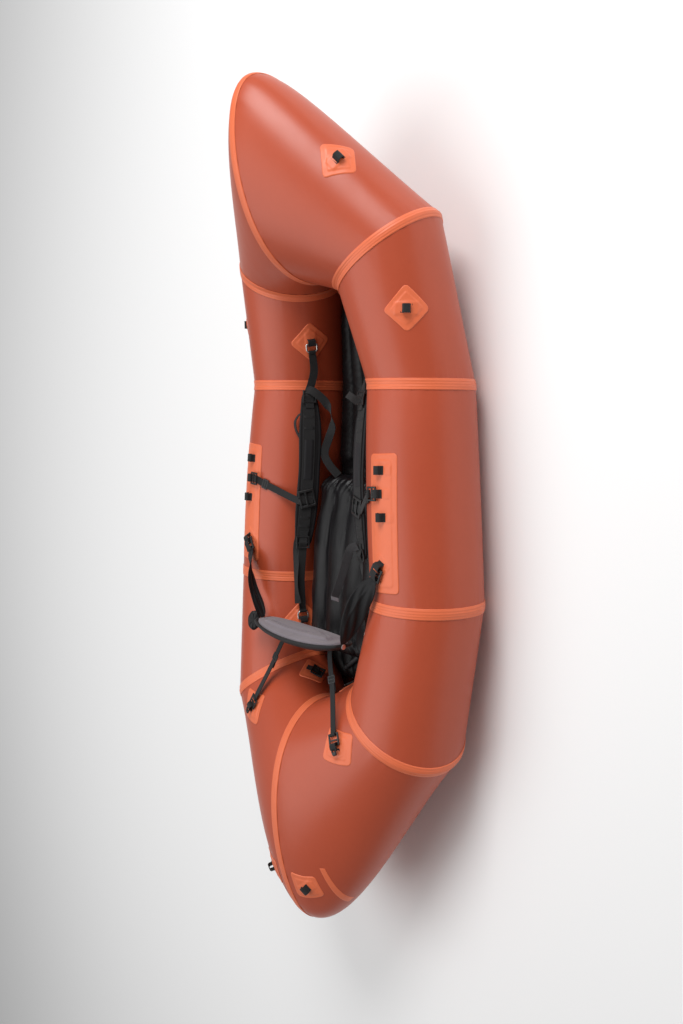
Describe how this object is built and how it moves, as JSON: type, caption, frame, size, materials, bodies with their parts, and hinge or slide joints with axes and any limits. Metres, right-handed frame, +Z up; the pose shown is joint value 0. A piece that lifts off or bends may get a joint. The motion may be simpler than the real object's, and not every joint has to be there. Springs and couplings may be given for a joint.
{
  "type": "packraft",
  "caption": "Inflated one-person packraft with taped fabric tubes, floor mat, inflatable seat, strapped backband, padded thigh straps and webbing tie loops.",
  "frame": {"origin": "under the middle of the hull, on the ground it lies on, halfway between the bow and stern tips", "axes": "+Y to the bow, +X to starboard, +Z up"},
  "size_m": [0.9778, 2.3614, 0.5562],
  "materials": {
    "hull_fabric": "matte",
    "tape_fabric": "satin",
    "patch_fabric": "satin",
    "webbing": "matte",
    "padded_fabric": "matte",
    "black_fabric": "satin",
    "foam_pad": "matte",
    "buckle_plastic": "satin",
    "ring_steel": "polished",
    "valve_plastic": "satin"
  },
  "bodies": {
    "hull": {"bow_panel_port": "hull_fabric", "fore_tube_port": "hull_fabric", "mid_tube_port": "hull_fabric", "aft_tube_port": "hull_fabric", "stern_panel_port": "hull_fabric", "bow_joint_tape_port": "tape_fabric", "fore_joint_tape_port": "tape_fabric", "aft_joint_tape_port": "tape_fabric", "stern_joint_tape_port": "tape_fabric", "bow_patch_port": "patch_fabric", "fore_patch_port": "patch_fabric", "thigh_front_patch_port": "patch_fabric", "side_patch_port": "patch_fabric", "thigh_rear_patch_port": "patch_fabric", "stern_strap_patch_port": "patch_fabric", "stern_tip_patch_port": "patch_fabric", "backband_front_strap_port": "webbing", "backband_rear_strap_port": "webbing", "thigh_side_strap_port": "webbing", "bow_panel_starboard": "hull_fabric", "fore_tube_starboard": "hull_fabric", "mid_tube_starboard": "hull_fabric", "aft_tube_starboard": "hull_fabric", "stern_panel_starboard": "hull_fabric", "bow_joint_tape_starboard": "tape_fabric", "fore_joint_tape_starboard": "tape_fabric", "aft_joint_tape_starboard": "tape_fabric", "stern_joint_tape_starboard": "tape_fabric", "bow_patch_starboard": "patch_fabric", "fore_patch_starboard": "patch_fabric", "thigh_front_patch_starboard": "patch_fabric", "side_patch_starboard": "patch_fabric", "thigh_rear_patch_starboard": "patch_fabric", "stern_strap_patch_starboard": "patch_fabric", "stern_tip_patch_starboard": "patch_fabric", "backband_front_strap_starboard": "webbing", "backband_rear_strap_starboard": "webbing", "thigh_side_strap_starboard": "webbing", "bow_centre_tape": "tape_fabric", "stern_centre_tape": "tape_fabric", "hull_floor": "hull_fabric", "floor_mat": "black_fabric", "seat_cushion": "black_fabric", "valve_body": "valve_plastic"},
    "backband": {"backband_shell": "buckle_plastic", "backband_pad": "foam_pad"},
    "ladder_lock_port": {"backband_ladder_lock_port": "buckle_plastic"},
    "thigh_strap_port": {"thigh_pad_port": "padded_fabric", "thigh_front_webbing_port": "webbing", "thigh_rear_webbing_port": "webbing"},
    "front_ring_port": {"thigh_front_ring_port": "ring_steel"},
    "rear_ring_port": {"thigh_rear_ring_port": "ring_steel"},
    "ladder_lock_starboard": {"backband_ladder_lock_starboard": "buckle_plastic"},
    "thigh_strap_starboard": {"thigh_pad_starboard": "padded_fabric", "thigh_front_webbing_starboard": "webbing", "thigh_rear_webbing_starboard": "webbing"},
    "front_ring_starboard": {"thigh_front_ring_starboard": "ring_steel"},
    "rear_ring_starboard": {"thigh_rear_ring_starboard": "ring_steel"},
    "valve_plunger": {"valve_plunger": "valve_plastic"},
    "valve_cap": {"valve_cap": "valve_plastic"}
  },
  "joints": [
    {"name": "backband_tilt", "type": "hinge", "parent": "hull", "child": "backband", "pos_m": [0, -0.3213, 0.3383], "axis": [1, 0, 0], "range_deg": [-20, 25], "deforming": ["backband_rear_strap_port", "backband_rear_strap_starboard"]},
    {"name": "ladder_lock_lift_port", "type": "hinge", "parent": "hull", "child": "ladder_lock_port", "pos_m": [-0.32758, -0.09285, 0.31638], "axis": [-0.8957, -0.4446, -0.0098], "range_deg": [-5, 20], "deforming": ["backband_front_strap_port"]},
    {"name": "ladder_lock_lift_starboard", "type": "hinge", "parent": "hull", "child": "ladder_lock_starboard", "pos_m": [0.32758, -0.09285, 0.31638], "axis": [-0.8957, 0.4446, 0.0098], "range_deg": [-5, 20], "deforming": ["backband_front_strap_starboard"]},
    {"name": "thigh_strap_swing_port", "type": "hinge", "parent": "hull", "child": "thigh_strap_port", "pos_m": [-0.16442, -0.32454, 0.21992], "axis": [-0.0582, -0.9983, -0.0075], "range_deg": [-12, 12], "deforming": ["thigh_side_strap_port"]},
    {"name": "front_ring_turn_port", "type": "hinge", "parent": "thigh_strap_port", "child": "front_ring_port", "pos_m": [-0.11658, 0.49637, 0.22606], "axis": [-0.3743, -0.1266, 0.9186], "range_deg": [-10, 20], "deforming": ["thigh_front_webbing_port"]},
    {"name": "rear_ring_turn_port", "type": "hinge", "parent": "thigh_strap_port", "child": "rear_ring_port", "pos_m": [-0.16442, -0.32454, 0.21992], "axis": [0.2673, 0.0871, -0.9597], "range_deg": [-10, 20], "deforming": ["thigh_rear_webbing_port"]},
    {"name": "thigh_strap_swing_starboard", "type": "hinge", "parent": "hull", "child": "thigh_strap_starboard", "pos_m": [0.16442, -0.32454, 0.21992], "axis": [-0.0582, 0.9983, 0.0075], "range_deg": [-12, 12], "deforming": ["thigh_side_strap_starboard"]},
    {"name": "front_ring_turn_starboard", "type": "hinge", "parent": "thigh_strap_starboard", "child": "front_ring_starboard", "pos_m": [0.11658, 0.49637, 0.22606], "axis": [-0.3743, 0.1266, -0.9186], "range_deg": [-10, 20], "deforming": ["thigh_front_webbing_starboard"]},
    {"name": "rear_ring_turn_starboard", "type": "hinge", "parent": "thigh_strap_starboard", "child": "rear_ring_starboard", "pos_m": [0.16442, -0.32454, 0.21992], "axis": [0.2673, -0.0871, 0.9597], "range_deg": [-10, 20], "deforming": ["thigh_rear_webbing_starboard"]},
    {"name": "valve_plunger_press", "type": "slide", "parent": "hull", "child": "valve_plunger", "axis": [-0.6534, 0.671, -0.3505], "range_m": [-0.004, 0], "stiffness_N_per_m": 150},
    {"name": "valve_cap_twist", "type": "hinge", "parent": "hull", "child": "valve_cap", "pos_m": [0.08353, -0.49088, 0.1754], "axis": [-0.6534, 0.671, -0.3505], "range_deg": [0, 90]}
  ]
}
